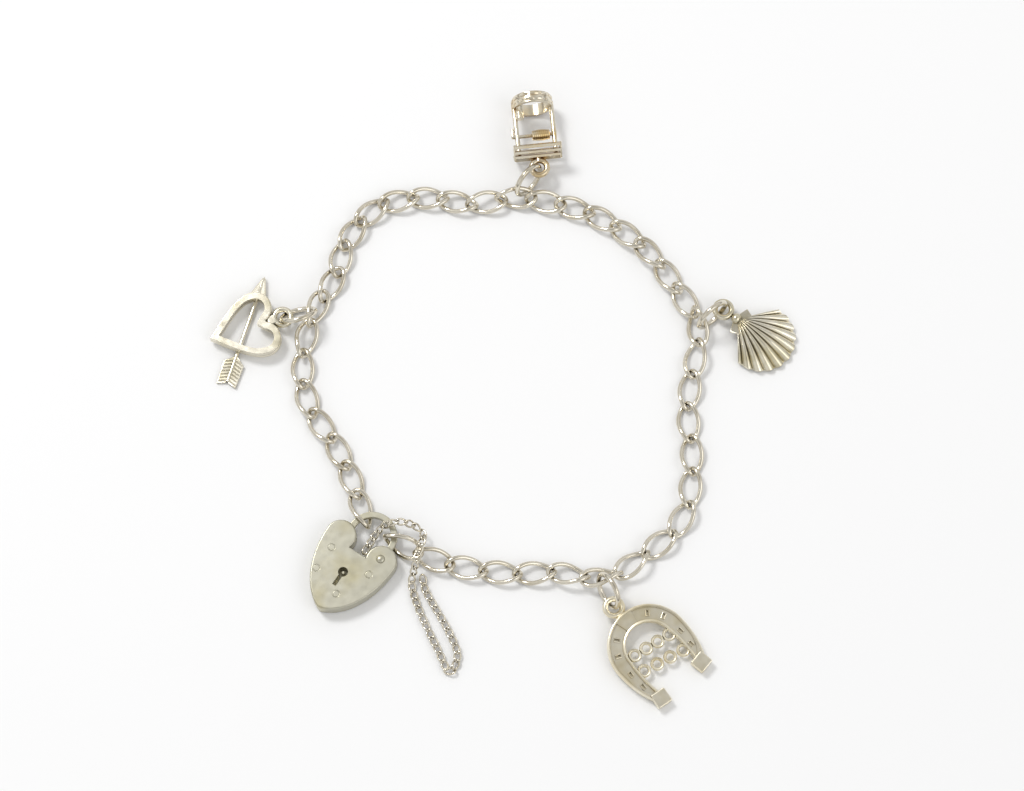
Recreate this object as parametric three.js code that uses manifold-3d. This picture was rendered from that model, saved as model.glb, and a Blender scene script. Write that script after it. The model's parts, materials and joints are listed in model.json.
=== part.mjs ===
// A silver charm bracelet lying on a flat surface: forty curb links joined by a heart padlock,
// a fine safety chain, and four charms on jump rings. Millimetres, +Z up.
import * as THREE from 'three';
import { mergeVertices } from 'three/addons/utils/BufferGeometryUtils.js';
import Module from 'manifold-3d';

const wasm = await Module();
wasm.setup();

// ---- driving dimensions ----
const LINK = { halfLength: 2.95, halfWidth: 1.46, wire: 0.66, twist: -45, steps: 16, sides: 6 };
const SETTLE = { rounds: 500, samples: 56, gap: 0.09, push: 0.5, turn: 0.16, keep: 0.004, thinnest: 0.5 };
const JUMP = { radius: 2.5, wire: 0.76, steps: 22, sides: 6 };
const CASE = {
  at: [-26.4, -33.8], heading: 56.5, depth: 2.5, bevel: 0.25,
  lobeX: 3.5, lobeY: 10.55, lobeR: 2.25, notchX: 1.4, notchY: 9.75,
  slot: 1.06,
};
const RIVET = { x: 3.3, y: 10.7, r: 0.42, headR: 0.62, headRise: 0.32 };
const SHACKLE = {
  x: 0.2, y: 13.0, r: 3.2, halfBand: 0.44, thick: 0.84, z: 1.29,
  fromDeg: -46, toDeg: 210, eyeR: 1.02, eyeBore: 0.5, play: 0.15,
};
const KEYHOLE = {
  x: -0.1, y: 6.2, r: 0.72, slotW: 0.62, slotEnd: 3.9, floor: 0.7, postR: 0.26, postTop: 2.1,
};
const BAIL = { r: 1.22, wire: 0.42, steps: 16, sides: 6 };
const HOOK_HEIGHT = 1.75;
const RAD = Math.PI / 180;

// The chain's centre line, from the link on the padlock's rivet side anticlockwise to the link on its
// free side. A row with a link number is that link's centre; the rest are spaced evenly between.
const ROUTE = [
  { x: -14.52, y: -24.39, link: 1 },
  { x: -10.2, y: -26.5 },
  { x: -0.4, y: -28.3 },
  { x: 9.3, y: -28.4 },
  { x: 13.8, y: -29.2, link: 7 },
  { x: 18.2, y: -26.9 },
  { x: 25.4, y: -20.4 },
  { x: 27.0, y: -12.0 },
  { x: 26.6, y: -3.5 },
  { x: 27.9, y: 5.0 },
  { x: 28.2, y: 8.9, link: 16 },
  { x: 25.6, y: 14.3 },
  { x: 20.3, y: 21.5 },
  { x: 12.4, y: 26.8 },
  { x: 6.0, y: 28.5 },
  { x: 1.6, y: 29.0, link: 24 },
  { x: -4.8, y: 28.3 },
  { x: -12.0, y: 29.2 },
  { x: -19.0, y: 27.6 },
  { x: -23.4, y: 22.3 },
  { x: -25.2, y: 16.3 },
  { x: -27.7, y: 11.6, link: 33 },
  { x: -29.5, y: 4.6 },
  { x: -28.7, y: -2.6 },
  { x: -24.3, y: -9.8 },
  { x: -22.2, y: -14.4 },
  { x: -20.6, y: -18.95, link: 40 },
];

// How far each of these links is rolled about its own length, in degrees. A minus lifts the outer side.
const ROLLS = [
  { link: 1, roll: 50 }, { link: 2, roll: 24 },
  { link: 6, roll: -20 }, { link: 7, roll: -42 }, { link: 8, roll: -20 },
  { link: 15, roll: -20 }, { link: 16, roll: -34 }, { link: 17, roll: -14 },
  { link: 19, roll: 16 }, { link: 23, roll: -20 }, { link: 24, roll: -42 }, { link: 25, roll: -20 },
  { link: 32, roll: -20 }, { link: 33, roll: -42 }, { link: 34, roll: -20 },
  { link: 39, roll: -8 }, { link: 40, roll: -16 },
];

// Where each jump ring stands: hooked at (x, y) inside its link, heading towards its charm.
const HANGERS = [
  { name: 'horseshoe', link: 7, x: 13.4, y: -29.6, heading: -62, lean: 74 },
  { name: 'shell', link: 16, x: 28.6, y: 8.6, heading: 40, lean: 86 },
  { name: 'well', link: 24, x: 2.1, y: 29.5, heading: 48, lean: 80 },
  { name: 'heart', link: 33, x: -28.1, y: 11.4, heading: 196, lean: 55 },
];

const SILVER = { color: 0xbab6a4, roughness: 0.22, metalness: 1 };
const WORN_SILVER = { color: 0xaaa896, roughness: 0.42, metalness: 1 };
const GILT = { color: 0xd2b16a, roughness: 0.25, metalness: 1 };

// ---- solids ----
function solid(geometry) {
  const bare = geometry.clone();
  bare.deleteAttribute('normal');
  bare.deleteAttribute('uv');
  const merged = mergeVertices(bare, 1e-4);
  return new wasm.Manifold(new wasm.Mesh({
    numProp: 3,
    vertProperties: new Float32Array(merged.attributes.position.array),
    triVerts: new Uint32Array(merged.index.array),
  }));
}

function geometryOf(manifold) {
  const mesh = manifold.getMesh();
  const geometry = new THREE.BufferGeometry();
  geometry.setAttribute('position', new THREE.BufferAttribute(new Float32Array(mesh.vertProperties), 3));
  geometry.setIndex(Array.from(mesh.triVerts));
  geometry.computeVertexNormals();
  return geometry;
}

function join(parts) {
  return parts.reduce((whole, part) => whole.add(part));
}

function prism(shape, z0, z1, curveSegments = 10) {
  const geometry = new THREE.ExtrudeGeometry(shape, { depth: z1 - z0, bevelEnabled: false, curveSegments });
  return solid(geometry.translate(0, 0, z0));
}

function disc(x, y, r, z0, z1, sides = 20) {
  const geometry = new THREE.CylinderGeometry(r, r, z1 - z0, sides).rotateX(90 * RAD);
  return solid(geometry.translate(x, y, (z0 + z1) / 2));
}

function box(x, y, z, w, d, h, turn = 0) {
  const geometry = new THREE.BoxGeometry(w, d, h).rotateZ(turn * RAD);
  return solid(geometry.translate(x, y, z));
}

function rod(from, to, r, sides = 8) {
  const a = new THREE.Vector3(...from);
  const b = new THREE.Vector3(...to);
  const geometry = new THREE.CylinderGeometry(r, r, a.distanceTo(b), sides);
  const along = b.clone().sub(a).normalize();
  geometry.applyQuaternion(new THREE.Quaternion().setFromUnitVectors(new THREE.Vector3(0, 1, 0), along));
  return solid(geometry.translate(...a.add(b).multiplyScalar(0.5).toArray()));
}

function ringAt(x, y, z, r, wire, steps = BAIL.steps, sides = BAIL.sides) {
  return solid(new THREE.TorusGeometry(r, wire, sides, steps).translate(x, y, z));
}

// A sector of a flat ring, or of a disc when the inner radius is nothing.
function sector(x, y, inner, outer, fromDeg, toDeg) {
  const shape = new THREE.Shape();
  shape.absarc(x, y, outer, fromDeg * RAD, toDeg * RAD, false);
  if (inner > 0) shape.absarc(x, y, inner, toDeg * RAD, fromDeg * RAD, true);
  else shape.lineTo(x, y);
  shape.closePath();
  return shape;
}

// ---- chain ----
class CurbLinkCurve extends THREE.Curve {
  getPoint(t, target = new THREE.Vector3()) {
    const turn = 2 * Math.PI * t;
    const x = LINK.halfLength * Math.cos(turn);
    const y = LINK.halfWidth * Math.sin(turn);
    const lean = LINK.twist * RAD * x / LINK.halfLength;
    return target.set(x, y * Math.cos(lean), y * Math.sin(lean));
  }
}

function linkPlaces() {
  const curve = new THREE.CatmullRomCurve3(ROUTE.map((p) => new THREE.Vector3(p.x, p.y, 0)), false, 'centripetal');
  const divisions = 2600;
  const lengths = curve.getLengths(divisions);
  const fixed = ROUTE.map((p, i) => ({ ...p, at: lengths[Math.round(i / (ROUTE.length - 1) * divisions)] }))
    .filter((p) => p.link);
  curve.arcLengthDivisions = divisions;
  curve.updateArcLengths();
  const total = curve.getLength();
  const places = [];
  for (let k = 0; k < fixed.length - 1; k += 1) {
    const [a, b] = [fixed[k], fixed[k + 1]];
    const last = k === fixed.length - 2;
    for (let n = a.link; n < b.link + (last ? 1 : 0); n += 1) {
      const u = (a.at + (b.at - a.at) * (n - a.link) / (b.link - a.link)) / total;
      const tangent = curve.getTangentAt(Math.min(u, 1));
      const point = curve.getPointAt(Math.min(u, 1));
      places.push({ link: n, x: point.x, y: point.y, heading: Math.atan2(tangent.y, tangent.x) });
    }
  }
  return places;
}

function lowestPoint(mesh) {
  mesh.updateMatrix();
  const probe = mesh.geometry.clone().applyMatrix4(mesh.matrix);
  probe.computeBoundingBox();
  return probe.boundingBox.min.z;
}

// A link's centre line as points, in the link's own frame.
function linkSamples() {
  const curve = new CurbLinkCurve();
  return Array.from({ length: SETTLE.samples }, (_, i) => curve.getPoint(i / SETTLE.samples));
}

// The fixed pieces that links hook round, each as points along its middle with the distance to keep.
function fixedCores() {
  const cores = HANGERS.map((hanger) => ({ points: ringSamples(hanger), keep: (LINK.wire + JUMP.wire) / 2 }));
  const { x, y, r, fromDeg, toDeg, z, thick } = SHACKLE;
  const band = [];
  for (let deg = fromDeg + 30; deg < toDeg; deg += 5) {
    band.push(lockPoint(x + r * Math.cos(deg * RAD), y + r * Math.sin(deg * RAD), z));
  }
  cores.push({ points: band, keep: LINK.wire / 2 + thick * 0.66 });
  return cores;
}

// Moves and turns one link so that its point p gains the offset c.
function nudge(link, p, c) {
  link.position.addScaledVector(c, SETTLE.push);
  const spin = p.clone().sub(link.position).cross(c).multiplyScalar(SETTLE.turn);
  const angle = spin.length();
  if (angle > 1e-9) {
    link.quaternion.premultiply(new THREE.Quaternion().setFromAxisAngle(spin.divideScalar(angle), angle));
  }
}

// Parts a link from its neighbour, or from a fixed core, where the two come closest.
function separate(points, link, others, other, keep) {
  let [near, far, least] = [null, null, keep];
  for (const p of points) {
    for (const q of others) {
      const d = p.distanceTo(q);
      if (d < least) [near, far, least] = [p, q, d];
    }
  }
  if (!near) return;
  const c = near.clone().sub(far).multiplyScalar((keep - least) / least);
  nudge(link, near, c);
  if (other) nudge(other, far, c.negate());
}

// Lets the interlocked links find places where no two of them touch and none is under the surface.
// The wire starts thin and grows, so that each link stays hooked through its neighbours.
function settle(links) {
  const local = linkSamples();
  const cores = fixedCores();
  const home = links.map((link) => ({ at: link.position.clone(), turn: link.quaternion.clone() }));
  const placed = (link) => local.map((v) => v.clone().applyQuaternion(link.quaternion).add(link.position));
  for (let round = 0; round < SETTLE.rounds; round += 1) {
    const grown = Math.min(1, SETTLE.thinnest + 1.6 * round / SETTLE.rounds);
    for (let i = 0; i < links.length; i += 1) {
      links[i].position.lerp(home[i].at, SETTLE.keep);
      links[i].quaternion.slerp(home[i].turn, SETTLE.keep);
      const points = placed(links[i]);
      if (i + 1 < links.length) {
        separate(points, links[i], placed(links[i + 1]), links[i + 1], grown * (LINK.wire + SETTLE.gap));
      }
      for (const core of cores) separate(points, links[i], core.points, null, grown * (core.keep + SETTLE.gap));
      const lowest = points.reduce((low, p) => (p.z < low.z ? p : low));
      if (lowest.z < LINK.wire / 2) nudge(links[i], lowest, new THREE.Vector3(0, 0, LINK.wire / 2 - lowest.z));
    }
  }
  for (const link of links) link.position.z -= Math.min(0, lowestPoint(link));
}

function addLinks(group) {
  const geometry = new THREE.TubeGeometry(new CurbLinkCurve(), LINK.steps, LINK.wire / 2, LINK.sides, true);
  const links = linkPlaces().map((place) => {
    const row = ROLLS.find((r) => r.link === place.link);
    const mesh = named(`link_${String(place.link).padStart(2, '0')}`, geometry, SILVER);
    mesh.rotation.set((row ? row.roll : 0) * RAD, 0, place.heading, 'ZYX');
    mesh.position.set(place.x, place.y, 0);
    mesh.position.z = -lowestPoint(mesh);
    return mesh;
  });
  settle(links);
  group.add(...links);
}

// ---- padlock ----
function heartOutline() {
  const s = new THREE.Shape();
  s.moveTo(0.25, 0.05);
  s.bezierCurveTo(3.9, 1.5, CASE.lobeX + CASE.lobeR, 6.3, CASE.lobeX + CASE.lobeR, CASE.lobeY);
  s.absarc(CASE.lobeX, CASE.lobeY, CASE.lobeR, 0, 188 * RAD, false);
  s.lineTo(CASE.notchX, CASE.notchY);
  s.lineTo(-CASE.notchX, CASE.notchY);
  s.absarc(-CASE.lobeX, CASE.lobeY, CASE.lobeR, -8 * RAD, 180 * RAD, false);
  s.bezierCurveTo(-CASE.lobeX - CASE.lobeR, 6.3, -3.9, 1.5, -0.25, 0.05);
  s.closePath();
  return s;
}

function caseBody() {
  const inset = CASE.bevel;
  const geometry = new THREE.ExtrudeGeometry(heartOutline(), {
    depth: CASE.depth - 2 * inset, bevelEnabled: true, bevelSize: inset, bevelThickness: inset,
    bevelOffset: -inset, bevelSegments: 1, curveSegments: 10,
  });
  return solid(geometry.translate(0, 0, inset));
}

function shackleSlots() {
  const half = CASE.slot / 2;
  const [z0, z1] = [SHACKLE.z - half, SHACKLE.z + half];
  const eye = disc(RIVET.x, RIVET.y, SHACKLE.eyeR + SHACKLE.play, z0, z1, 24);
  const swept = prism(sector(RIVET.x, RIVET.y, 0, 5, 38, 172), z0, z1);
  const freeEnd = prism(sector(RIVET.x, RIVET.y, 5.15, 7.35, 140, 176.5), z0, z1);
  return join([eye, swept, freeEnd]);
}

function keyhole() {
  const round = disc(KEYHOLE.x, KEYHOLE.y, KEYHOLE.r, KEYHOLE.floor, CASE.depth + 1, 16);
  const depth = CASE.depth + 1 - KEYHOLE.floor;
  const length = KEYHOLE.y - KEYHOLE.slotEnd;
  const slot = box(KEYHOLE.x, KEYHOLE.slotEnd + length / 2, KEYHOLE.floor + depth / 2, KEYHOLE.slotW, length, depth);
  return round.add(slot);
}

function rivet() {
  const shank = disc(RIVET.x, RIVET.y, RIVET.r, 0.3, CASE.depth - 0.2, 12);
  const dome = new THREE.SphereGeometry(RIVET.headR, 12, 8).scale(1, 1, RIVET.headRise / RIVET.headR);
  return shank.add(solid(dome.translate(RIVET.x, RIVET.y, CASE.depth)));
}

function padlockCase() {
  const post = disc(KEYHOLE.x, KEYHOLE.y, KEYHOLE.postR, KEYHOLE.floor - 0.2, KEYHOLE.postTop, 10);
  const cut = caseBody().subtract(shackleSlots()).subtract(keyhole());
  return join([cut, post, rivet()]);
}

function padlockShackle() {
  const [z0, z1] = [SHACKLE.z - SHACKLE.thick / 2, SHACKLE.z + SHACKLE.thick / 2];
  const { x, y, r, halfBand, fromDeg, toDeg } = SHACKLE;
  const band = prism(sector(x, y, r - halfBand, r + halfBand, fromDeg, toDeg), z0, z1, 18);
  const eye = disc(RIVET.x, RIVET.y, SHACKLE.eyeR, z0, z1, 20);
  const bore = disc(RIVET.x, RIVET.y, SHACKLE.eyeBore, z0 - 1, z1 + 1, 16);
  return band.add(eye).subtract(bore);
}

// A point of the padlock's own frame, in the bracelet's.
function lockPoint(x, y, z) {
  const turn = (CASE.heading - 90) * RAD;
  return new THREE.Vector3(
    CASE.at[0] + x * Math.cos(turn) - y * Math.sin(turn),
    CASE.at[1] + x * Math.sin(turn) + y * Math.cos(turn),
    z,
  );
}

function addPadlock(group) {
  const lock = new THREE.Group();
  lock.position.set(CASE.at[0], CASE.at[1], 0);
  lock.rotation.z = (CASE.heading - 90) * RAD;
  lock.add(named('padlock_case', geometryOf(padlockCase()), WORN_SILVER));
  lock.add(named('padlock_shackle', geometryOf(padlockShackle()), WORN_SILVER));
  group.add(lock);
}

// ---- safety chain: fine links, made as one tube along their route ----
const SAFETY = { width: 0.9, steps: 76, sides: 8 };
const SAFETY_ROUTE = [
  [-19.9, -24.75, 0.6], [-19.2, -23.6, 0.6], [-18.6, -22.6, 0.6], [-17.8, -21.9, 1.3], [-16.9, -21.5, 2.3],
  [-15.6, -21.2, 2.5], [-14.2, -21.3, 2.5], [-12.8, -21.7, 1.8], [-11.8, -22.7, 1.5], [-11.8, -24.0, 3.1],
  [-12.2, -25.6, 3.6], [-12.6, -27.2, 3.2], [-13.1, -28.6, 1.4], [-13.3, -30.0, 0.56], [-12.5, -32.9, 0.56],
  [-11.1, -36.2, 0.56], [-9.5, -39.5, 0.56], [-8.6, -41.6, 0.56], [-7.8, -42.6, 0.56], [-7.0, -41.7, 0.56],
  [-6.8, -39.7, 0.56], [-8.1, -36.6, 0.56], [-9.9, -33.4, 0.56], [-11.3, -30.9, 0.56], [-11.7, -29.3, 0.6],
];

function addSafetyChain(group) {
  const curve = new THREE.CatmullRomCurve3(SAFETY_ROUTE.map((p) => new THREE.Vector3(...p)), false, 'centripetal');
  const section = new THREE.Shape();
  section.absarc(0, 0, SAFETY.width / 2, 0, 2 * Math.PI, false);
  const geometry = new THREE.ExtrudeGeometry(section, {
    steps: SAFETY.steps, extrudePath: curve, bevelEnabled: false, curveSegments: SAFETY.sides / 2,
  });
  group.add(named('safety_chain', geometry, SILVER));
}

// ---- charms: each hangs from its bail at the origin towards -Y, with its back on z = 0 ----
const SHOE = {
  centreY: -7.6, outerR: 6.1, innerR: 3.5, heelY: -14.1, heelOuter: 4.75, heelInner: 3.3,
  depth: 1.1, calkin: 2.3, calkinX: 3.9, calkinDepth: 1.5,
};
const SHOE_RINGS = [
  { x: -2.5, y: -7.1, pitch: 1.9, drop: 0.34 },
  { x: -3.0, y: -9.6, pitch: 2.06, drop: 0.5 },
];

function shoeOutline() {
  const { centreY, outerR, innerR, heelY, heelOuter, heelInner } = SHOE;
  const s = new THREE.Shape();
  s.absarc(0, centreY, outerR, 0, Math.PI, false);
  s.quadraticCurveTo(-outerR + 0.1, centreY - 3, -heelOuter, heelY);
  s.lineTo(-heelInner, heelY);
  s.quadraticCurveTo(-innerR - 0.5, centreY - 3, -innerR, centreY);
  s.absarc(0, centreY, innerR, Math.PI, 0, true);
  s.quadraticCurveTo(innerR + 0.5, centreY - 3, heelInner, heelY);
  s.lineTo(heelOuter, heelY);
  s.quadraticCurveTo(outerR - 0.1, centreY - 3, outerR, centreY);
  return s;
}

function horseshoe() {
  const parts = [prism(shoeOutline(), 0, SHOE.depth, 14), ringAt(0, 0, BAIL.wire, BAIL.r, BAIL.wire)];
  for (const side of [-1, 1]) {
    const z = SHOE.calkinDepth / 2;
    parts.push(box(side * SHOE.calkinX, SHOE.heelY, z, SHOE.calkin, 2.2, SHOE.calkinDepth, side * 8));
  }
  const bores = [];
  for (const row of SHOE_RINGS) {
    const middle = row.y - 1.5 * row.drop;
    parts.push(box(0, middle, 0.45, 2 * SHOE.innerR + 1, 0.5, 0.6, -Math.atan(row.drop / row.pitch) / RAD));
    for (let n = 0; n < 4; n += 1) {
      const [x, y] = [row.x + n * row.pitch, row.y - n * row.drop];
      parts.push(disc(x, y, 1.0, 0.1, 0.9, 12));
      bores.push(disc(x, y, 0.52, -1, 2, 10));
    }
  }
  return join(parts).subtract(join(bores));
}

const SHELL = { apexY: -2.45, length: 9.3, halfAngle: 52, ribs: 10, rise: 1.7, crown: 0.35, wall: 0.5, rows: 5 };

// The fan's radius and height at an angle off its axis and a fraction of the way out.
function shellPoint(fraction, angle, lift) {
  const reach = SHELL.length * Math.cos(0.92 * angle) * fraction;
  const rib = Math.cos(angle / (SHELL.halfAngle * RAD) * SHELL.ribs * Math.PI);
  const past = (fraction - SHELL.crown) / (fraction < SHELL.crown ? SHELL.crown : 1 - SHELL.crown);
  const dome = 1 - past * past * (fraction < SHELL.crown ? 0.45 : 1);
  const side = 1 - 0.8 * (angle / (SHELL.halfAngle * RAD)) ** 2;
  const z = 0.14 + SHELL.rise * dome * side + 0.14 * rib * fraction;
  return [reach * Math.sin(angle), SHELL.apexY - reach * Math.cos(angle), z + lift];
}

function shellFan() {
  const columns = SHELL.ribs * 2;
  const positions = [];
  const index = [];
  const at = (layer, i, j) => (layer * (SHELL.rows + 1) + i) * (columns + 1) + j;
  for (let layer = 0; layer < 2; layer += 1) {
    for (let i = 0; i <= SHELL.rows; i += 1) {
      for (let j = 0; j <= columns; j += 1) {
        const angle = (2 * j / columns - 1) * SHELL.halfAngle * RAD;
        const fraction = 0.08 + 0.92 * i / SHELL.rows;
        positions.push(...shellPoint(fraction, angle, layer === 0 ? 0 : SHELL.wall));
      }
    }
  }
  const quad = (a, b, c, d) => index.push(a, b, c, a, c, d);
  for (let i = 0; i < SHELL.rows; i += 1) {
    for (let j = 0; j < columns; j += 1) {
      quad(at(1, i, j), at(1, i + 1, j), at(1, i + 1, j + 1), at(1, i, j + 1));
      quad(at(0, i, j), at(0, i, j + 1), at(0, i + 1, j + 1), at(0, i + 1, j));
    }
  }
  for (let j = 0; j < columns; j += 1) {
    quad(at(0, 0, j), at(1, 0, j), at(1, 0, j + 1), at(0, 0, j + 1));
    quad(at(0, SHELL.rows, j), at(0, SHELL.rows, j + 1), at(1, SHELL.rows, j + 1), at(1, SHELL.rows, j));
  }
  for (let i = 0; i < SHELL.rows; i += 1) {
    quad(at(0, i, 0), at(0, i + 1, 0), at(1, i + 1, 0), at(1, i, 0));
    quad(at(0, i, columns), at(1, i, columns), at(1, i + 1, columns), at(0, i + 1, columns));
  }
  const geometry = new THREE.BufferGeometry();
  geometry.setAttribute('position', new THREE.Float32BufferAttribute(positions, 3));
  geometry.setIndex(index);
  return solid(geometry);
}

function scallopShell() {
  const ears = new THREE.Shape();
  ears.moveTo(0, -1.45);
  ears.lineTo(2.8, -2.5);
  ears.lineTo(2.6, -4.3);
  ears.lineTo(-2.6, -4.3);
  ears.lineTo(-2.8, -2.5);
  ears.closePath();
  return join([
    shellFan(), prism(ears, 0.95, 1.6), disc(0, SHELL.apexY - 0.1, 0.85, 0.6, 1.95, 12),
    ringAt(0, 0, 0.95, BAIL.r, BAIL.wire),
  ]);
}

const WELL = {
  bail: 1.15, baseY: -10.4, outerR: 3.15, innerR: 2.45, wallHeight: 1.7, axisZ: 3.15,
  postR: 0.36, roofY: -2.6, roofHalf: 3.4, roofDepth: 2.1, windlassY: -5.2,
};

function wishingWell() {
  const w = WELL;
  const wall = (r, extra) => {
    const tube = new THREE.CylinderGeometry(r, r, w.wallHeight + extra, 18);
    return solid(tube.translate(0, w.baseY, w.axisZ));
  };
  const stone = wall(w.outerR, 0).subtract(wall(w.innerR, 1));
  const gable = new THREE.Shape();
  gable.moveTo(-w.roofDepth, 0);
  gable.lineTo(0, 1.5);
  gable.lineTo(w.roofDepth, 0);
  gable.lineTo(w.roofDepth - 0.25, -0.45);
  gable.lineTo(0, 0.85);
  gable.lineTo(-w.roofDepth + 0.25, -0.45);
  gable.closePath();
  const roof = new THREE.ExtrudeGeometry(gable, { depth: 2 * w.roofHalf, bevelEnabled: false });
  roof.translate(0, 0, -w.roofHalf).rotateY(90 * RAD).translate(0, w.roofY - 0.4, w.axisZ);
  const postX = w.outerR - 0.35;
  const post = (s) => rod([s * postX, w.baseY, w.axisZ], [s * (postX - 0.05), w.roofY + 0.7, w.axisZ], w.postR);
  const posts = [-1, 1].map(post);
  const windlass = rod([-postX, w.windlassY, w.axisZ], [postX, w.windlassY, w.axisZ], 0.28);
  const rope = rod([-1.9, w.windlassY, w.axisZ], [0.5, w.windlassY, w.axisZ], 0.55, 10);
  const crank = rod([postX - 0.1, w.windlassY, w.axisZ], [postX + 0.75, w.windlassY, w.axisZ], 0.24);
  const handle = rod([postX + 0.6, w.windlassY + 0.1, w.axisZ], [postX + 0.6, w.windlassY - 1.3, w.axisZ], 0.24);
  const bucket = new THREE.CylinderGeometry(0.62, 0.5, 1.3, 12).translate(2.15, w.baseY + 1.9, w.axisZ + 0.5);
  const stem = rod([0, w.roofY + 0.9, w.axisZ], [0, -0.85, w.axisZ], 0.5);
  const bail = solid(new THREE.TorusGeometry(w.bail, 0.44, BAIL.sides, BAIL.steps).translate(0, 0, w.axisZ));
  return join([stone, solid(roof), ...posts, windlass, rope, crank, handle, solid(bucket), stem, bail]);
}

const HEART = { lobeX: 2.42, lobeY: -3.5, lobeR: 2.5, tipY: -11.05, band: 1.0, z0: 0.55, z1: 2.1 };

function heartFrame(inset) {
  const r = HEART.lobeR - inset;
  const tip = HEART.tipY + inset * 1.35;
  const cleft = HEART.lobeY + Math.sqrt(Math.max(0, r * r - HEART.lobeX ** 2 * 0.9)) - inset * 0.35;
  const s = new THREE.Shape();
  s.moveTo(0, cleft);
  s.absarc(-HEART.lobeX, HEART.lobeY, r, 25 * RAD, 190 * RAD, false);
  s.bezierCurveTo(-HEART.lobeX - r, HEART.lobeY - 2.2, -1.9 + inset * 0.3, tip + 2.0, 0, tip);
  s.bezierCurveTo(1.9 - inset * 0.3, tip + 2.0, HEART.lobeX + r, HEART.lobeY - 2.2,
    HEART.lobeX + r * Math.cos(10 * RAD), HEART.lobeY - r * Math.sin(10 * RAD));
  s.absarc(HEART.lobeX, HEART.lobeY, r, -10 * RAD, 155 * RAD, false);
  s.closePath();
  return s;
}

const ARROW = { tip: [-7.2, -0.64], end: [7.2, -10.9], z: 0.42, r: 0.3 };

function arrow() {
  const [tx, ty] = ARROW.tip;
  const [ex, ey] = ARROW.end;
  const length = Math.hypot(ex - tx, ey - ty);
  const head = new THREE.Shape();
  head.moveTo(0, 0);
  head.lineTo(3.4, 1.25);
  head.lineTo(2.9, 0.25);
  head.lineTo(2.9, -0.25);
  head.lineTo(3.4, -1.25);
  head.closePath();
  const vane = new THREE.Shape();
  vane.moveTo(length - 4.7, 0.25);
  vane.lineTo(length - 3.6, 1.6);
  vane.lineTo(length, 1.5);
  vane.lineTo(length - 0.5, 0);
  vane.lineTo(length, -1.5);
  vane.lineTo(length - 3.6, -1.6);
  vane.lineTo(length - 4.7, -0.25);
  vane.closePath();
  const shaft = rod([1.5, 0, ARROW.z], [length - 1, 0, ARROW.z], ARROW.r);
  const laid = join([shaft, prism(head, 0, 0.8), prism(vane, 0, 0.8)]);
  return laid.rotate([0, 0, Math.atan2(ey - ty, ex - tx) / RAD]).translate([tx, ty, 0]);
}

function heartAndArrow() {
  const frame = prism(heartFrame(0), HEART.z0, HEART.z1, 12)
    .subtract(prism(heartFrame(HEART.band), HEART.z0 - 1, HEART.z1 + 1, 12));
  const bridge = box(0, -1.55, 1.3, 1.4, 1.3, 0.9);
  return join([frame, arrow(), bridge, ringAt(0, 0, 1.3, BAIL.r, BAIL.wire)]);
}

// Each charm's solid, finish, the height of its bail's centre above its back, and how it lies.
const CHARMS = [
  {
    name: 'horseshoe', build: horseshoe, finish: WORN_SILVER,
    bailZ: BAIL.wire, bailHeight: 1.62, heading: -47.7, reach: 15.2,
  },
  { name: 'shell', build: scallopShell, finish: SILVER, bailZ: 0.95, bailHeight: 1.62, heading: -37, reach: 11.7 },
  { name: 'well', build: wishingWell, finish: GILT, bailZ: WELL.axisZ, bailHeight: 3.15, heading: 96, reach: 11 },
  { name: 'heart', build: heartAndArrow, finish: SILVER, bailZ: 1.3, bailHeight: 1.62, heading: 198, reach: 11 },
];

// A jump ring stands on its rim: where it passes the height z, on the side its heading points to.
function ringCrossing(hanger, z, side) {
  const radius = JUMP.radius;
  const sine = Math.sin(hanger.lean * RAD);
  const up = (z - radius * sine - JUMP.wire / 2) / sine;
  const out = side * Math.sqrt(radius * radius - up * up);
  const across = up * Math.cos(hanger.lean * RAD);
  const h = hanger.heading * RAD;
  return [Math.cos(h) * out - Math.sin(h) * across, Math.sin(h) * out + Math.cos(h) * across];
}

function ringCentre(hanger) {
  const hook = ringCrossing(hanger, HOOK_HEIGHT, -1);
  const z = JUMP.radius * Math.sin(hanger.lean * RAD) + JUMP.wire / 2;
  return new THREE.Vector3(hanger.x - hook[0], hanger.y - hook[1], z);
}

function ringTurn(hanger) {
  return new THREE.Euler(hanger.lean * RAD, 0, hanger.heading * RAD, 'ZYX');
}

function ringSamples(hanger) {
  const centre = ringCentre(hanger);
  return Array.from({ length: 60 }, (_, i) => {
    const turn = 2 * Math.PI * i / 60;
    const point = new THREE.Vector3(JUMP.radius * Math.cos(turn), JUMP.radius * Math.sin(turn), 0);
    return point.applyEuler(ringTurn(hanger)).add(centre);
  });
}

function addHanger(group, hanger) {
  const shape = new THREE.TorusGeometry(JUMP.radius, JUMP.wire / 2, JUMP.sides, JUMP.steps);
  const ring = named(`jump_ring_${hanger.name}`, shape, SILVER);
  const centre = ringCentre(hanger);
  ring.rotation.copy(ringTurn(hanger));
  ring.position.copy(centre);
  group.add(ring);
  const charm = CHARMS.find((c) => c.name === hanger.name);
  const reached = ringCrossing(hanger, charm.bailHeight, 1);
  const mesh = named(`charm_${charm.name}`, geometryOf(charm.build()), charm.finish);
  const tilt = Math.asin((charm.bailHeight - charm.bailZ) / charm.reach);
  mesh.rotation.set(tilt, 0, (charm.heading + 90) * RAD, 'ZYX');
  mesh.position.set(centre.x + reached[0], centre.y + reached[1], 0);
  mesh.position.z = -lowestPoint(mesh);
  group.add(mesh);
}

function named(name, geometry, finish) {
  const mesh = new THREE.Mesh(geometry, new THREE.MeshStandardMaterial(finish));
  mesh.name = name;
  return mesh;
}

const bracelet = new THREE.Group();
addLinks(bracelet);
addPadlock(bracelet);
addSafetyChain(bracelet);
for (const hanger of HANGERS) addHanger(bracelet, hanger);

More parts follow.
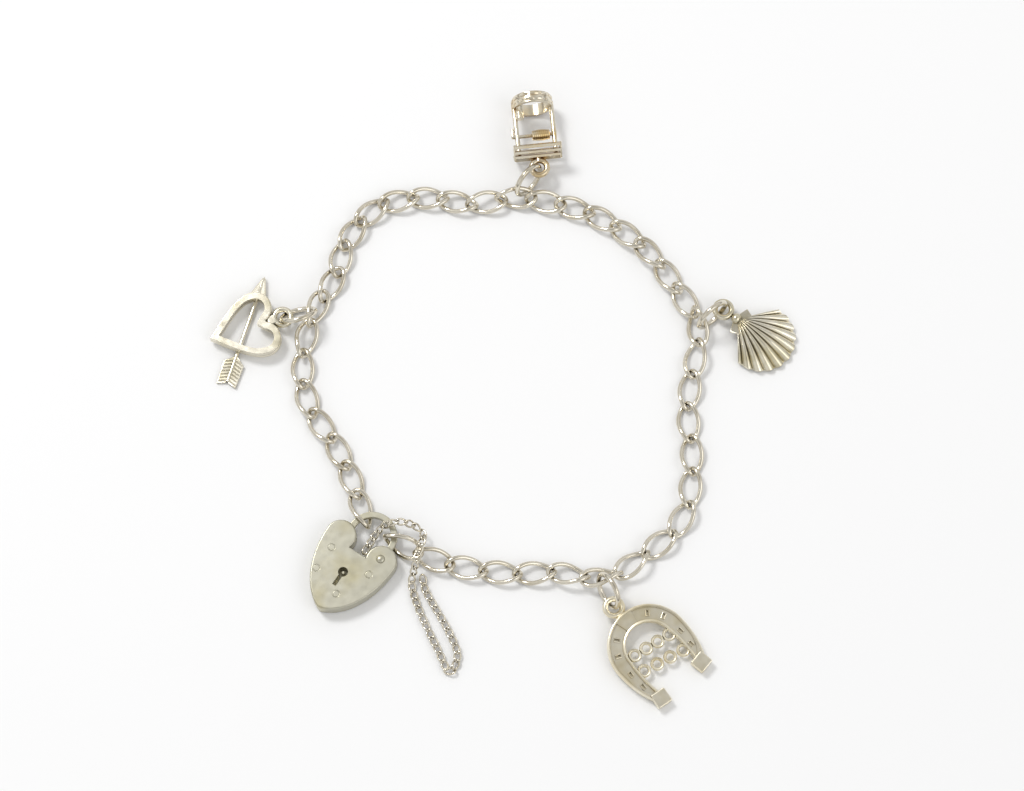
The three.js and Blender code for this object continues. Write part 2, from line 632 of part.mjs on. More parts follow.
// The origin is under the middle of the whole bracelet, on the surface it lies on.
bracelet.updateMatrixWorld(true);
const extent = new THREE.Box3().setFromObject(bracelet, true);
bracelet.position.set(-(extent.min.x + extent.max.x) / 2, -(extent.min.y + extent.max.y) / 2, -extent.min.z);

export default bracelet;
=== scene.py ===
"""The look of a silver charm bracelet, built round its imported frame. Lengths are millimetres until they are meshed."""
import json
import logging
import math
from dataclasses import dataclass, field
from enum import Enum

import bmesh
import bpy
import numpy as np
from mathutils import Euler, Matrix, Vector


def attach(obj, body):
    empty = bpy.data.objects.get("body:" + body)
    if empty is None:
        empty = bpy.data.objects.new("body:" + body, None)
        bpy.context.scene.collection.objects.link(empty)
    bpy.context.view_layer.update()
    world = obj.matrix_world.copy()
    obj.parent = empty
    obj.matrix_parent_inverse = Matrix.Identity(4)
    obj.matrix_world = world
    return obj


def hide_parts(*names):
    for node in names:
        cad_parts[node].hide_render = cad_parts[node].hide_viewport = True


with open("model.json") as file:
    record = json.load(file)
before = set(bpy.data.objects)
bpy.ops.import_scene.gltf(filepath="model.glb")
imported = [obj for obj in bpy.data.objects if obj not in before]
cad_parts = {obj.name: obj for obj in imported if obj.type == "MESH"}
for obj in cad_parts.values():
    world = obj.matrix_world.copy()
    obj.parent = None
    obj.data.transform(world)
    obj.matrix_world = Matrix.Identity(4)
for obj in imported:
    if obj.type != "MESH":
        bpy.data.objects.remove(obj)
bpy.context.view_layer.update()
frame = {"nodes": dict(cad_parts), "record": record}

log = logging.getLogger("bracelet")
MM = 0.001
Point = tuple[float, float, float]
Flat = tuple[float, float]


class Slot(Enum):
    """The record's material slots."""

    CHAIN = "chain_silver"
    LOCK = "lock_silver"
    CHARM = "charm_silver"
    GILT = "charm_gilt"


@dataclass(frozen=True)
class Metal:
    """A worn metal finish: its tone, how dull it is, and the colour of its hollows, a painted shade from ambient
    occlusion that also stands for tarnish there.
    """

    name: str
    tone: tuple[float, float, float]
    stain: tuple[float, float, float]
    hollow_shade_and_tarnish: tuple[float, float, float]
    dull: float
    streaks: float
    hollow_shade_reach: float = 0.5
    grain: float = 900.0

    def material(self) -> bpy.types.Material:
        """Builds the shader.

        Returns:
            A new material reading Object coordinates only.
        """
        made = bpy.data.materials.new(self.name)
        made.use_nodes = True
        nodes, links = made.node_tree.nodes, made.node_tree.links
        shader = nodes["Principled BSDF"]
        shader.inputs["Metallic"].default_value = 1.0
        place = nodes.new("ShaderNodeTexCoord")
        cloud = nodes.new("ShaderNodeTexNoise")
        cloud.inputs["Scale"].default_value = 260.0
        cloud.inputs["Detail"].default_value = 4.0
        grain = nodes.new("ShaderNodeTexNoise")
        grain.inputs["Scale"].default_value = self.grain
        grain.inputs["Detail"].default_value = 5.0
        for texture in (cloud, grain):
            links.new(place.outputs["Object"], texture.inputs["Vector"])
        spread = nodes.new("ShaderNodeMapRange")
        spread.inputs["From Min"].default_value = 0.45
        spread.inputs["From Max"].default_value = 0.75
        links.new(cloud.outputs["Fac"], spread.inputs["Value"])
        toned = nodes.new("ShaderNodeMix")
        toned.data_type = "RGBA"
        toned.inputs[6].default_value = (*self.tone, 1.0)
        toned.inputs[7].default_value = (*self.stain, 1.0)
        links.new(spread.outputs["Result"], toned.inputs["Factor"])
        # Painted shade: an ambient occlusion mask pulls the colour towards the dark hollow colour in hollows and
        # where parts touch, partly tarnish, partly shade painted in.
        hollow = nodes.new("ShaderNodeAmbientOcclusion")
        hollow.inputs["Distance"].default_value = self.hollow_shade_reach * MM
        hollow.samples = 8
        depth = nodes.new("ShaderNodeMapRange")
        depth.inputs["From Min"].default_value = 0.15
        depth.inputs["From Max"].default_value = 0.8
        links.new(hollow.outputs["AO"], depth.inputs["Value"])
        shaded = nodes.new("ShaderNodeMix")
        shaded.data_type = "RGBA"
        shaded.inputs[6].default_value = (*self.hollow_shade_and_tarnish, 1.0)
        links.new(toned.outputs[2], shaded.inputs[7])
        links.new(depth.outputs["Result"], shaded.inputs["Factor"])
        links.new(shaded.outputs[2], shader.inputs["Base Color"])
        rough = nodes.new("ShaderNodeMapRange")
        rough.inputs["To Min"].default_value = self.dull
        rough.inputs["To Max"].default_value = self.dull + 0.18
        links.new(grain.outputs["Fac"], rough.inputs["Value"])
        links.new(rough.outputs["Result"], shader.inputs["Roughness"])
        bump = nodes.new("ShaderNodeBump")
        bump.inputs["Strength"].default_value = self.streaks
        bump.inputs["Distance"].default_value = 0.02 * MM
        links.new(grain.outputs["Fac"], bump.inputs["Height"])
        links.new(bump.outputs["Normal"], shader.inputs["Normal"])
        return made


# The third colour of each finish is the painted shade laid in its hollows, also standing for tarnish; the last number
# is how far that shade reaches, in millimetres.
WIRE_SILVER = Metal("polished_wire", (0.76, 0.71, 0.60), (0.60, 0.54, 0.42), (0.08, 0.06, 0.04), 0.06, 0.12, 0.45)
LOCK_SILVER = Metal("satin_lock", (0.56, 0.54, 0.44), (0.50, 0.46, 0.31), (0.07, 0.06, 0.04), 0.26, 0.35, 0.5)
CAST_SILVER = Metal("cast_charm", (0.84, 0.79, 0.66), (0.58, 0.52, 0.34), (0.07, 0.055, 0.03), 0.12, 0.25, 0.4)
WORN_SHOE = Metal("worn_shoe", (0.90, 0.84, 0.68), (0.74, 0.64, 0.40), (0.10, 0.075, 0.04), 0.22, 0.5, 0.22)
WORN_GILT = Metal("worn_gilt", (0.76, 0.70, 0.57), (0.66, 0.47, 0.20), (0.26, 0.12, 0.02), 0.14, 0.3, 1.3)


class Stock:
    """Gathers solids, in millimetres, into one mesh."""

    def __init__(self) -> None:
        """Starts empty."""
        self.solids = bmesh.new()

    def add(self, mesh: bpy.types.Mesh, place: Matrix | None = None) -> None:
        """Adds a mesh and frees it.

        Args:
            mesh: The mesh to take.
            place: Where it goes.
        """
        if place is not None:
            mesh.transform(place)
        self.solids.from_mesh(mesh)
        bpy.data.meshes.remove(mesh)

    def tube(self, points: list[Point], radius: float | list[float], sides: int = 12, closed: bool = False) -> None:
        """Adds a round tube through points.

        Args:
            points: The middle of the tube.
            radius: One radius, or one for each point.
            sides: Faces round it.
            closed: Whether the last point joins the first.
        """
        path = [Vector(p) for p in points]
        radii = radius if isinstance(radius, list) else [radius] * len(path)
        count = len(path)
        rings = []
        normal = None
        for i, point in enumerate(path):
            before = path[i - 1] if i or closed else point
            after = path[(i + 1) % count] if i + 1 < count or closed else point
            along = (after - before).normalized()
            guess = normal if normal is not None else along.orthogonal()
            normal = (guess - along * guess.dot(along)).normalized()
            side = along.cross(normal)
            turns = [2 * math.pi * k / sides for k in range(sides)]
            rings.append([
                self.solids.verts.new(point + radii[i] * (math.cos(t) * normal + math.sin(t) * side)) for t in turns
            ])
        spans = list(zip(rings, rings[1:]))
        for ring, following in spans:
            self._bridge(ring, following, 0)
        if closed:
            self._bridge(rings[-1], rings[0], self._offset(rings[-1], rings[0]))
        else:
            self.solids.faces.new(rings[0][::-1])
            self.solids.faces.new(rings[-1])

    @staticmethod
    def _offset(ring: list, following: list) -> int:
        """Returns how far round the second ring its nearest point to the first ring's start lies."""
        return min(range(len(following)), key=lambda k: (following[k].co - ring[0].co).length)

    def _bridge(self, ring: list, following: list, offset: int) -> None:
        """Joins two rings of vertices with quads, the second one turned by an offset."""
        sides = len(ring)
        for k in range(sides):
            a, b = following[(k + offset) % sides], following[(k + 1 + offset) % sides]
            self.solids.faces.new((ring[k], ring[(k + 1) % sides], b, a))

    def hoop(self, centre: Point, radius: float, wire: float, steps: int = 40, flat: float = 1.0) -> None:
        """Adds a ring lying flat.

        Args:
            centre: Its middle.
            radius: Of its wire's middle.
            wire: Its wire's radius.
            steps: Points round it.
            flat: Its height as a share of a round wire's.
        """
        made = bmesh.new()
        holder = Stock.__new__(Stock)
        holder.solids = made
        ring = [(radius * math.cos(t), radius * math.sin(t), 0.0) for t in np.linspace(0, 2 * math.pi, steps, False)]
        holder.tube(ring, wire, 12, True)
        bmesh.ops.transform(made, matrix=Matrix.Translation(centre) @ Matrix.Diagonal((1, 1, flat, 1)), verts=made.verts)
        mesh = bpy.data.meshes.new("hoop")
        made.to_mesh(mesh)
        made.free()
        self.add(mesh)

    def ball(self, centre: Point, size: Point) -> None:
        """Adds a rounded lump with the three half sizes given."""
        place = Matrix.Translation(centre) @ Matrix.Diagonal((*size, 1.0))
        bmesh.ops.create_uvsphere(self.solids, u_segments=20, v_segments=12, radius=1.0, matrix=place)

    def block(self, centre: Point, size: Point, bevel: float, turn: float = 0.0) -> None:
        """Adds a block with rounded edges, turned about Z.

        Args:
            centre: Its middle.
            size: Its whole sizes.
            bevel: The width of its edges.
            turn: Degrees about Z.
        """
        made = bmesh.new()
        bmesh.ops.create_cube(made, size=1.0, matrix=Matrix.Diagonal((*size, 1.0)))
        bmesh.ops.bevel(made, geom=made.edges[:], offset=bevel, segments=2, affect="EDGES", profile=0.6)
        place = Matrix.Translation(centre) @ Matrix.Rotation(math.radians(turn), 4, "Z")
        bmesh.ops.transform(made, matrix=place, verts=made.verts)
        mesh = bpy.data.meshes.new("block")
        made.to_mesh(mesh)
        made.free()
        self.add(mesh)

    def mesh(self, name: str) -> bpy.types.Mesh:
        """Returns what was gathered as one mesh, with its faces turned outwards."""
        bmesh.ops.recalc_face_normals(self.solids, faces=self.solids.faces)
        made = bpy.data.meshes.new(name)
        self.solids.to_mesh(made)
        self.solids.free()
        return made


def arc(centre: Flat, radius: float, start: float, end: float, steps: int = 24) -> list[Flat]:
    """Returns points on a circle from one angle to another, in degrees."""
    turns = np.radians(np.linspace(start, end, steps))
    return [(centre[0] + radius * math.cos(t), centre[1] + radius * math.sin(t)) for t in turns]


def bezier(a: Flat, b: Flat, c: Flat, d: Flat, steps: int = 20) -> list[Flat]:
    """Returns points inside a cubic curve, without its two ends."""
    made = []
    for t in np.linspace(0, 1, steps + 2)[1:-1]:
        w = ((1 - t) ** 3, 3 * t * (1 - t) ** 2, 3 * t * t * (1 - t), t ** 3)
        made.append(tuple(sum(k * p[i] for k, p in zip(w, (a, b, c, d))) for i in range(2)))
    return made


def plate(outlines: list[list[Flat]], low: float, high: float, bevel: float = 0.0) -> bpy.types.Mesh:
    """Makes a flat plate from closed outlines, the inner ones being holes.

    Args:
        outlines: Rings of points.
        low: The height of its back.
        high: The height of its front.
        bevel: How far its edges are rounded.

    Returns:
        The mesh.
    """
    curve = bpy.data.curves.new("plate", "CURVE")
    curve.dimensions = "2D"
    curve.fill_mode = "BOTH"
    curve.extrude = (high - low) / 2 - bevel
    curve.bevel_depth = bevel
    curve.bevel_resolution = 2
    curve.offset = -bevel
    for outline in outlines:
        spline = curve.splines.new("POLY")
        spline.points.add(len(outline) - 1)
        for point, (x, y) in zip(spline.points, outline):
            point.co = (x, y, 0, 1)
        spline.use_cyclic_u = True
    holder = bpy.data.objects.new("plate", curve)
    mesh = bpy.data.meshes.new_from_object(holder)
    bpy.data.objects.remove(holder)
    bpy.data.curves.remove(curve)
    welded = bmesh.new()
    welded.from_mesh(mesh)
    bmesh.ops.remove_doubles(welded, verts=welded.verts, dist=0.004)
    bmesh.ops.recalc_face_normals(welded, faces=welded.faces)
    welded.to_mesh(mesh)
    welded.free()
    mesh.transform(Matrix.Translation((0, 0, (low + high) / 2)))
    return mesh


def cut(mesh: bpy.types.Mesh, cutter: bpy.types.Mesh) -> bpy.types.Mesh:
    """Cuts one mesh away from another, freeing both, and returns what is left."""
    body, tool = (bpy.data.objects.new(n, m) for n, m in (("body", mesh), ("tool", cutter)))
    for each in (body, tool):
        bpy.context.scene.collection.objects.link(each)
    knife = body.modifiers.new("cut", "BOOLEAN")
    knife.operation = "DIFFERENCE"
    knife.solver = "EXACT"
    knife.object = tool
    made = bpy.data.meshes.new_from_object(body.evaluated_get(bpy.context.evaluated_depsgraph_get()))
    for each in (body, tool):
        old = each.data
        bpy.data.objects.remove(each)
        bpy.data.meshes.remove(old)
    return made


def finish_piece(name: str, mesh: bpy.types.Mesh, place: Matrix, metal: Metal, body: str,
                 nodes: list[str], on_floor: bool = False, smooth: float = 35.0) -> bpy.types.Object:
    """Puts a mesh in its place and hands it to the frame.

    Args:
        name: The piece's name.
        mesh: Its mesh in millimetres.
        place: Where its own frame stands, in millimetres.
        metal: Its finish.
        body: The body it rides on.
        nodes: The nodes it stands for.
        on_floor: Whether to raise or lower it until it rests.
        smooth: The angle in degrees under which edges look round.

    Returns:
        The object.
    """
    mesh.transform(place)
    if on_floor:
        mesh.transform(Matrix.Translation((0, 0, -min(v.co.z for v in mesh.vertices))))
    mesh = flatten_normals(mesh, smooth)
    mesh.transform(Matrix.Scale(MM, 4))
    mesh.materials.clear()
    mesh.materials.append(metal.material())
    piece = bpy.data.objects.new(name, mesh)
    bpy.context.scene.collection.objects.link(piece)
    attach(piece, body)
    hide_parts(*nodes)
    log.info("%s: %d faces for %s", name, len(mesh.polygons), ", ".join(nodes[:3]))
    return piece


def flatten_normals(mesh: bpy.types.Mesh, angle: float) -> bpy.types.Mesh:
    """Shades round edges smoothly while broad faces stay flat.

    Args:
        mesh: The mesh, which is freed.
        angle: The angle in degrees under which edges look round.

    Returns:
        A new mesh.
    """
    mesh.polygons.foreach_set("use_smooth", [True] * len(mesh.polygons))
    mesh.set_sharp_from_angle(angle=math.radians(angle))
    holder = bpy.data.objects.new("shading", mesh)
    bpy.context.scene.collection.objects.link(holder)
    weigh = holder.modifiers.new("weigh", "WEIGHTED_NORMAL")
    weigh.keep_sharp = True
    weigh.weight = 90
    made = bpy.data.meshes.new_from_object(holder.evaluated_get(bpy.context.evaluated_depsgraph_get()))
    bpy.data.objects.remove(holder)
    bpy.data.meshes.remove(mesh)
    return made


def node_points(node: str) -> np.ndarray:
    """Returns a node's separate corners, in millimetres."""
    found = frame["nodes"][node]
    corners = np.array([tuple(found.matrix_world @ v.co) for v in found.data.vertices]) / MM
    return np.unique(corners.round(4), axis=0)


def node_axes(node: str) -> tuple[np.ndarray, np.ndarray]:
    """Returns a node's middle, and its long, wide and thin directions as a matrix's columns."""
    corners = node_points(node)
    middle = corners.mean(axis=0)
    _, directions = np.linalg.eigh(np.cov((corners - middle).T))
    axes = directions[:, ::-1].copy()
    if np.linalg.det(axes) < 0:
        axes[:, 2] *= -1
    return middle, axes


class WireTree:
    """A Geometry Nodes tree that sets a bent wire link on each point of a mesh or curve."""

    def __init__(self, name: str, material: bpy.types.Material) -> None:
        """Starts the tree.

        Args:
            name: The tree's name.
            material: What the wire is made of.
        """
        self.tree = bpy.data.node_groups.new(name, "GeometryNodeTree")
        face = self.tree.interface
        face.new_socket("Geometry", in_out="INPUT", socket_type="NodeSocketGeometry")
        for label in ("Half Length", "Half Width", "Wire", "Twist"):
            face.new_socket(label, in_out="INPUT", socket_type="NodeSocketFloat")
        face.new_socket("Geometry", in_out="OUTPUT", socket_type="NodeSocketGeometry")
        self.inlet = self.tree.nodes.new("NodeGroupInput")
        self.outlet = self.tree.nodes.new("NodeGroupOutput")
        self.material = material

    def node(self, kind: str, **settings: object) -> bpy.types.Node:
        """Adds a node with its settings."""
        made = self.tree.nodes.new(kind)
        for key, value in settings.items():
            setattr(made, key, value)
        return made

    def join(self, source: bpy.types.NodeSocket, target: bpy.types.NodeSocket) -> None:
        """Links two sockets."""
        self.tree.links.new(source, target)

    def math(self, operation: str, first: object, second: object = None) -> bpy.types.NodeSocket:
        """Adds a Math node on sockets or numbers and returns its result."""
        made = self.node("ShaderNodeMath", operation=operation)
        for socket, value in zip(made.inputs, (first, second)):
            if isinstance(value, bpy.types.NodeSocket):
                self.join(value, socket)
            elif value is not None:
                socket.default_value = value
        return made.outputs[0]

    def link_shape(self, steps: int, sides: int) -> bpy.types.NodeSocket:
        """Makes one link: an oval whose ends are twisted apart, as a round wire.

        Args:
            steps: Points round the oval.
            sides: Faces round the wire.

        Returns:
            The link's mesh.
        """
        oval = self.node("GeometryNodeCurvePrimitiveCircle", mode="RADIUS")
        oval.inputs["Resolution"].default_value = steps
        oval.inputs["Radius"].default_value = 1.0
        split = self.node("ShaderNodeSeparateXYZ")
        self.join(self.node("GeometryNodeInputPosition").outputs[0], split.inputs[0])
        lean = self.math("MULTIPLY", self.inlet.outputs["Twist"], split.outputs["X"])
        across = self.math("MULTIPLY", self.inlet.outputs["Half Width"], split.outputs["Y"])
        bent = self.node("ShaderNodeCombineXYZ")
        self.join(self.math("MULTIPLY", self.inlet.outputs["Half Length"], split.outputs["X"]), bent.inputs["X"])
        self.join(self.math("MULTIPLY", across, self.math("COSINE", lean)), bent.inputs["Y"])
        self.join(self.math("MULTIPLY", across, self.math("SINE", lean)), bent.inputs["Z"])
        placed = self.node("GeometryNodeSetPosition")
        self.join(oval.outputs["Curve"], placed.inputs["Geometry"])
        self.join(bent.outputs[0], placed.inputs["Position"])
        section = self.node("GeometryNodeCurvePrimitiveCircle", mode="RADIUS")
        section.inputs["Resolution"].default_value = sides
        self.join(self.inlet.outputs["Wire"], section.inputs["Radius"])
        swept = self.node("GeometryNodeCurveToMesh")
        self.join(placed.outputs["Geometry"], swept.inputs["Curve"])
        self.join(section.outputs["Curve"], swept.inputs["Profile Curve"])
        return swept.outputs["Mesh"]

    def instances(self, points: bpy.types.NodeSocket, shape: bpy.types.NodeSocket,
                  turn: bpy.types.NodeSocket) -> None:
        """Sets the shape on each point, turned, and ends the tree.

        Args:
            points: Where.
            shape: What.
            turn: How each one is turned.
        """
        many = self.node("GeometryNodeInstanceOnPoints")
        self.join(points, many.inputs["Points"])
        self.join(shape, many.inputs["Instance"])
        self.join(turn, many.inputs["Rotation"])
        real = self.node("GeometryNodeRealizeInstances")
        self.join(many.outputs["Instances"], real.inputs["Geometry"])
        dressed = self.node("GeometryNodeSetMaterial")
        dressed.inputs["Material"].default_value = self.material
        self.join(real.outputs["Geometry"], dressed.inputs["Geometry"])
        self.join(dressed.outputs["Geometry"], self.outlet.inputs[0])

    def grow(self, base: bpy.types.Object, sizes: dict[str, float]) -> bpy.types.Mesh:
        """Runs the tree on an object and returns a plain mesh.

        Args:
            base: The object whose points carry the links. It is removed.
            sizes: A value for each named input.

        Returns:
            The mesh, in the object's units.
        """
        bpy.context.scene.collection.objects.link(base)
        runner = base.modifiers.new("wire", "NODES")
        runner.node_group = self.tree
        for item in self.tree.interface.items_tree:
            if item.item_type == "SOCKET" and item.in_out == "INPUT" and item.name in sizes:
                runner[item.identifier] = sizes[item.name]
        made = bpy.data.meshes.new_from_object(base.evaluated_get(bpy.context.evaluated_depsgraph_get()))
        base.modifiers.remove(runner)
        bpy.data.objects.remove(base)
        return made


@dataclass
class CurbChain:
    """The forty links, each set where its own node lies."""

    half_length: float = 2.95
    half_width: float = 1.46
    wire: float = 0.33
    twist: float = -45.0
    count: int = 40

    def build(self, tree_name: str, nodes: list[str], metal: Metal, steps: int, name: str) -> None:
        """Grows round wire on each node's middle, turned as the node is.

        Args:
            tree_name: The Geometry Nodes tree's name.
            nodes: The nodes to stand for.
            metal: Their finish.
            steps: Points round each oval.
            name: The piece's name.
        """
        cloud = bpy.data.meshes.new(name)
        middles, turns = [], []
        for node in nodes:
            middle, axes = node_axes(node)
            middles.append(middle)
            turns.extend(Matrix(axes.tolist()).to_euler("XYZ"))
        cloud.from_pydata([tuple(m) for m in middles], [], [])
        cloud.attributes.new("turn", "FLOAT_VECTOR", "POINT").data.foreach_set("vector", turns)
        wire = WireTree(tree_name, metal.material())
        read = wire.node("GeometryNodeInputNamedAttribute", data_type="FLOAT_VECTOR")
        read.inputs["Name"].default_value = "turn"
        turned = wire.node("FunctionNodeEulerToRotation")
        wire.join(read.outputs[0], turned.inputs[0])
        wire.instances(wire.inlet.outputs["Geometry"], wire.link_shape(steps, 12), turned.outputs[0])
        base = bpy.data.objects.new(name, cloud)
        sizes = {"Half Length": self.half_length, "Half Width": self.half_width, "Wire": self.wire,
                 "Twist": math.radians(self.twist)}
        finish_piece(name, wire.grow(base, sizes), Matrix(), metal, "bracelet", nodes, smooth=80)


@dataclass
class LockFrame:
    """Where the padlock lies: its tip, and the way its notch faces."""

    heading: float = 56.5
    rivet: Flat = (3.3, 10.7)
    tip: Flat = (-26.4, -33.8)

    def place(self) -> Matrix:
        """Returns the padlock's own frame, found from its hinge."""
        hinge = Vector(frame["record"]["behaviour"]["joints"][0]["pos_m"]) / MM
        turn = Matrix.Rotation(math.radians(self.heading - 90), 4, "Z")
        tip = Vector((hinge.x, hinge.y, 0)) - turn @ Vector((*self.rivet, 0))
        return Matrix.Translation(tip) @ turn

    def shift(self) -> Vector:
        """Returns how far the frame's origin lies from the drawing's."""
        return self.place().translation - Vector((*self.tip, 0))


@dataclass
class Padlock:
    """The heart padlock: a bevelled case with a keyhole, slots and rivet, and a flat round shackle."""

    lobe: Point = (3.5, 10.55, 2.25)
    notch: Flat = (1.4, 9.75)
    depth: float = 2.5
    slot_height: float = 1.06
    shackle: Point = (0.2, 13.0, 3.2)
    shackle_z: float = 1.29
    shackle_half: float = 0.44
    shackle_thick: float = 0.84
    span: Flat = (-46.0, 210.0)
    eye: Flat = (1.02, 0.5)
    key: Point = (-0.1, 6.2, 0.72)
    marks: list[Flat] = field(default_factory=lambda: [(-3.5, 8.3), (-3.6, 4.6), (3.2, 7.9), (0.9, 3.0)])
    where: LockFrame = field(default_factory=LockFrame)

    def outline(self) -> list[Flat]:
        """Returns the heart's edge, anticlockwise from its tip."""
        x, y, r = self.lobe
        right = [(0.25, 0.05), *bezier((0.25, 0.05), (3.9, 1.5), (x + r, 6.3), (x + r, y))]
        right += arc((x, y), r, 0, 188, 40)
        right.append(self.notch)
        return right + [(-a, b) for a, b in reversed(right)]

    def slots(self) -> bpy.types.Mesh:
        """Returns the solids that make room for the shackle."""
        low, high = self.shackle_z - self.slot_height / 2, self.shackle_z + self.slot_height / 2
        rivet = self.where.rivet
        room = Stock()
        room.add(plate([[rivet, *arc(rivet, 5, 38, 172, 30)]], low, high))
        ring = arc(rivet, 7.35, 140, 176.5) + arc(rivet, 5.15, 176.5, 140)
        room.add(plate([ring], low, high))
        return room.mesh("slots")

    def case(self) -> bpy.types.Mesh:
        """Returns the case with its keyhole, marks, post and rivet."""
        mesh = cut(plate([self.outline()], 0, self.depth, 0.22), self.slots())
        x, y, r = self.key
        hole = arc((x, y), r, -65, 245, 30) + [(x - 0.31, 3.9), (x + 0.31, 3.9)]
        mesh = cut(mesh, plate([hole], 0.7, self.depth + 1))
        dents = Stock()
        for mx, my in self.marks:
            dents.hoop((mx, my, self.depth + 0.03), 0.5, 0.1, 20)
        mesh = cut(mesh, dents.mesh("marks"))
        whole = Stock()
        whole.add(mesh)
        whole.tube([(x, y, 0.5), (x, y, 2.0), (x, y, 2.12)], [0.27, 0.27, 0.18], 16)
        rx, ry = self.where.rivet
        whole.tube([(rx, ry, 0.3), (rx, ry, self.depth)], 0.42, 20)
        whole.ball((rx, ry, self.depth), (0.62, 0.62, 0.32))
        return whole.mesh("padlock_case")

    def bow(self) -> bpy.types.Mesh:
        """Returns the shackle, with the eye that turns on the rivet."""
        x, y, r = self.shackle
        half = self.shackle_thick / 2
        low, high = self.shackle_z - half, self.shackle_z + half
        eye, bore = self.eye
        band = arc((x, y), r + self.shackle_half, *self.span, 70)
        band += arc((x, y), r - self.shackle_half, *self.span[::-1], 70)
        whole = Stock()
        whole.add(plate([band], low, high, 0.12))
        hub = plate([arc(self.where.rivet, eye, 0, 350, 36)], low + 0.01, high - 0.01, 0.1)
        whole.add(cut(hub, plate([arc(self.where.rivet, bore, 0, 350, 36)], low - 1, high + 1)))
        return whole.mesh("padlock_shackle")

    def build(self) -> None:
        """Builds both pieces."""
        place = self.where.place()
        finish_piece("padlock_case_fine", self.case(), place, LOCK_SILVER, "bracelet", ["padlock_case"])
        finish_piece("padlock_shackle_fine", self.bow(), place, LOCK_SILVER, "shackle",
                     ["padlock_shackle"])


@dataclass
class SafetyChain:
    """The fine chain, one small curb link after another along its route."""

    half_length: float = 0.82
    half_width: float = 0.46
    wire: float = 0.145
    pitch: float = 1.22
    route: tuple[Point, ...] = (
        (-19.9, -24.75, 0.6), (-19.2, -23.6, 0.6), (-18.6, -22.6, 0.6), (-17.8, -21.9, 1.3), (-16.9, -21.5, 2.3),
        (-15.6, -21.2, 2.5), (-14.2, -21.3, 2.5), (-12.8, -21.7, 1.8), (-11.8, -22.7, 1.5), (-11.8, -24.0, 3.1),
        (-12.2, -25.6, 3.6), (-12.6, -27.2, 3.2), (-13.1, -28.6, 1.4), (-13.3, -30.0, 0.56), (-12.5, -32.9, 0.56),
        (-11.1, -36.2, 0.56), (-9.5, -39.5, 0.56), (-8.6, -41.6, 0.56), (-7.8, -42.6, 0.56), (-7.0, -41.7, 0.56),
        (-6.8, -39.7, 0.56), (-8.1, -36.6, 0.56), (-9.9, -33.4, 0.56), (-11.3, -30.9, 0.56), (-11.7, -29.3, 0.6),
    )

    def build(self, where: LockFrame) -> None:
        """Grows the links.

        Args:
            where: The padlock's frame, which fixes the route's origin.
        """
        curve = bpy.data.curves.new("safety_route", "CURVE")
        curve.dimensions = "3D"
        spline = curve.splines.new("POLY")
        spline.points.add(len(self.route) - 1)
        for point, at in zip(spline.points, self.route):
            point.co = (*(Vector(at) + where.shift()), 1)
        wire = WireTree("fine_links", WIRE_SILVER.material())
        smooth = wire.node("GeometryNodeCurveSplineType", spline_type="CATMULL_ROM")
        wire.join(wire.inlet.outputs["Geometry"], smooth.inputs["Curve"])
        points = wire.node("GeometryNodeCurveToPoints", mode="LENGTH")
        points.inputs["Length"].default_value = self.pitch
        wire.join(smooth.outputs["Curve"], points.inputs["Curve"])
        along = wire.node("FunctionNodeAlignRotationToVector", axis="X", pivot_axis="Z")
        wire.join(points.outputs["Tangent"], along.inputs["Vector"])
        tipped = wire.node("FunctionNodeAlignRotationToVector", axis="X")
        wire.join(along.outputs["Rotation"], tipped.inputs["Rotation"])
        wire.join(points.outputs["Tangent"], tipped.inputs["Vector"])
        chance = wire.node("FunctionNodeRandomValue", data_type="FLOAT")
        chance.inputs["Min"].default_value = -0.45
        chance.inputs["Max"].default_value = 0.45
        chance.inputs["Seed"].default_value = 7
        rolled = wire.node("FunctionNodeRotateRotation", rotation_space="LOCAL")
        roll = wire.node("FunctionNodeAxisAngleToRotation")
        roll.inputs["Axis"].default_value = (1, 0, 0)
        wire.join(chance.outputs["Value"], roll.inputs["Angle"])
        wire.join(tipped.outputs["Rotation"], rolled.inputs["Rotation"])
        wire.join(roll.outputs["Rotation"], rolled.inputs["Rotate By"])
        wire.instances(points.outputs["Points"], wire.link_shape(24, 8), rolled.outputs["Rotation"])
        base = bpy.data.objects.new("safety_route", curve)
        sizes = {"Half Length": self.half_length, "Half Width": self.half_width, "Wire": self.wire,
                 "Twist": math.radians(-45)}
        mesh = wire.grow(base, sizes)
        finish_piece("safety_chain_fine", mesh, Matrix(), WIRE_SILVER, "bracelet", ["safety_chain"],
                     smooth=80)


@dataclass
class Charm:
    """What all charms share: a jump ring standing on its rim, and how the charm lies from it.

    A charm is drawn hanging from its bail, at its origin, towards -Y, with its back at z = 0.
    """

    name: str
    heading: float
    ring_heading: float
    ring_lean: float
    bail_z: float
    bail_height: float
    reach: float
    metal: Metal = CAST_SILVER
    slot: Slot = Slot.CHARM
    ring_radius: float = 2.5
    ring_wire: float = 0.38
    bail: Flat = (1.22, 0.42)

    def place(self) -> Matrix:
        """Returns the charm's frame: the ring passes through its bail at the bail's height."""
        middle = node_points(f"jump_ring_{self.name}").mean(axis=0)
        lean = math.radians(self.ring_lean)
        up = (self.bail_height - self.ring_radius * math.sin(lean) - self.ring_wire) / math.sin(lean)
        out = math.sqrt(self.ring_radius ** 2 - up * up)
        across = up * math.cos(lean)
        h = math.radians(self.ring_heading)
        at = (middle[0] + math.cos(h) * out - math.sin(h) * across,
              middle[1] + math.sin(h) * out + math.cos(h) * across, 0)
        tilt = math.asin((self.bail_height - self.bail_z) / self.reach)
        return (Matrix.Translation(at) @ Matrix.Rotation(math.radians(self.heading + 90), 4, "Z")
                @ Matrix.Rotation(tilt, 4, "X"))

    def shape(self) -> bpy.types.Mesh:
        """Returns the charm's mesh; each charm has its own."""
        raise NotImplementedError

    def build(self) -> None:
        """Builds the charm."""
        finish_piece(f"{self.name}_fine", self.shape(), self.place(), self.metal, "bracelet",
                     [f"charm_{self.name}"], on_floor=True)


